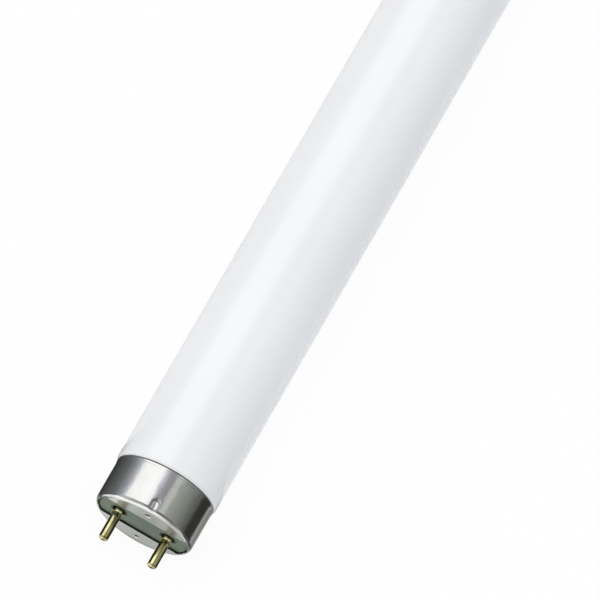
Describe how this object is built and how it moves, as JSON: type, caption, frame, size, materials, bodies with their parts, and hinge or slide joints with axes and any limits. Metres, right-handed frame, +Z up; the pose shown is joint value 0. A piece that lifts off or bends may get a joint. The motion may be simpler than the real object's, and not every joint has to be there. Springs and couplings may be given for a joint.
{
  "type": "fluorescent tube",
  "caption": "Straight white-coated fluorescent lamp tube with aluminium bi-pin caps, held and powered at its ends by lampholders.",
  "frame": {"origin": "middle of the lamp, on the tube's axis", "axes": "+X along the tube from the near cap to the far cap, Y along the line of the pins, +Z up, square to the plane of the pins"},
  "size_m": [0.6048, 0.0254, 0.0254],
  "materials": {
    "coated_glass": "glossy glass, white coated inside",
    "cap_aluminium": "bright drawn",
    "insulator_board": "matte laminate",
    "pin_brass": "bright",
    "capping_cement": "matte",
    "lead_wire": "drawn wire"
  },
  "bodies": {
    "root": {"glass_tube": "coated_glass", "near_cap_shell": "cap_aluminium", "far_cap_shell": "cap_aluminium", "near_insulator_plate": "insulator_board", "far_insulator_plate": "insulator_board", "near_left_pin": "pin_brass", "near_right_pin": "pin_brass", "far_left_pin": "pin_brass", "far_right_pin": "pin_brass", "near_cap_cement": "capping_cement", "far_cap_cement": "capping_cement", "near_left_lead": "lead_wire", "near_right_lead": "lead_wire", "far_left_lead": "lead_wire", "far_right_lead": "lead_wire"}
  },
  "joints": []
}
